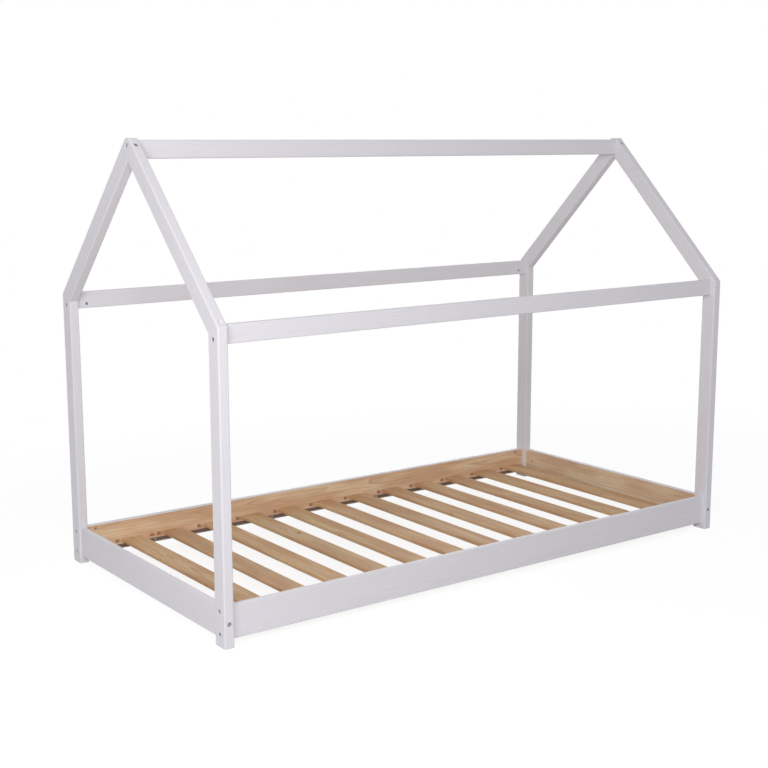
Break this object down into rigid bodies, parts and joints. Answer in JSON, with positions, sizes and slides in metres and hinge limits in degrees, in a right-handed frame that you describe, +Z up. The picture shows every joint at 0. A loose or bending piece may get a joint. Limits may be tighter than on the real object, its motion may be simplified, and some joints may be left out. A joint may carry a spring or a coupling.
{
  "type": "house frame bed",
  "caption": "House-shaped low children's bed frame in timber: corner posts, sloping rafters, ridge beam, eaves rails, low boards round the mattress and bare slats.",
  "frame": {"origin": "on the floor, at the middle of the bed's length and width", "axes": "+X along the bed's length, +Y across it away from the side with the apex screws' heads, +Z up"},
  "size_m": [1.99, 1.008, 1.3771],
  "materials": {
    "white_paint": "satin white paint over pine",
    "rail_paint_and_pine": "satin white paint on the outer faces and edges, bare planed pine on the inner face",
    "bare_pine": "bare planed pine",
    "beech": "fluted beech, unfinished",
    "plated_steel": "zinc plated"
  },
  "bodies": {
    "root": {"eaves_rail_back": "white_paint", "eaves_rail_barrel_nuts": "plated_steel", "eaves_rail_bolts": "plated_steel", "eaves_rail_dowels": "beech", "eaves_rail_front": "white_paint", "end_rail_barrel_nuts": "plated_steel", "end_rail_bolts": "plated_steel", "end_rail_dowels": "beech", "end_rail_left": "rail_paint_and_pine", "end_rail_right": "rail_paint_and_pine", "post_back_left": "white_paint", "post_back_right": "white_paint", "post_front_left": "white_paint", "post_front_right": "white_paint", "rafter_apex_screws": "plated_steel", "rafter_back_left": "white_paint", "rafter_back_right": "white_paint", "rafter_foot_dowels": "beech", "rafter_foot_screws": "plated_steel", "rafter_front_left": "white_paint", "rafter_front_right": "white_paint", "ridge_beam": "white_paint", "ridge_beam_barrel_nuts": "plated_steel", "ridge_beam_bolts": "plated_steel", "ridge_beam_dowels": "beech", "side_rail_back": "rail_paint_and_pine", "side_rail_barrel_nuts": "plated_steel", "side_rail_bolts": "plated_steel", "side_rail_front": "rail_paint_and_pine", "slat_01": "bare_pine", "slat_02": "bare_pine", "slat_03": "bare_pine", "slat_04": "bare_pine", "slat_05": "bare_pine", "slat_06": "bare_pine", "slat_07": "bare_pine", "slat_08": "bare_pine", "slat_09": "bare_pine", "slat_10": "bare_pine", "slat_11": "bare_pine", "slat_12": "bare_pine", "slat_ledge_back": "bare_pine", "slat_ledge_front": "bare_pine", "slat_ledge_screws": "plated_steel", "slat_screws": "plated_steel"}
  },
  "joints": []
}
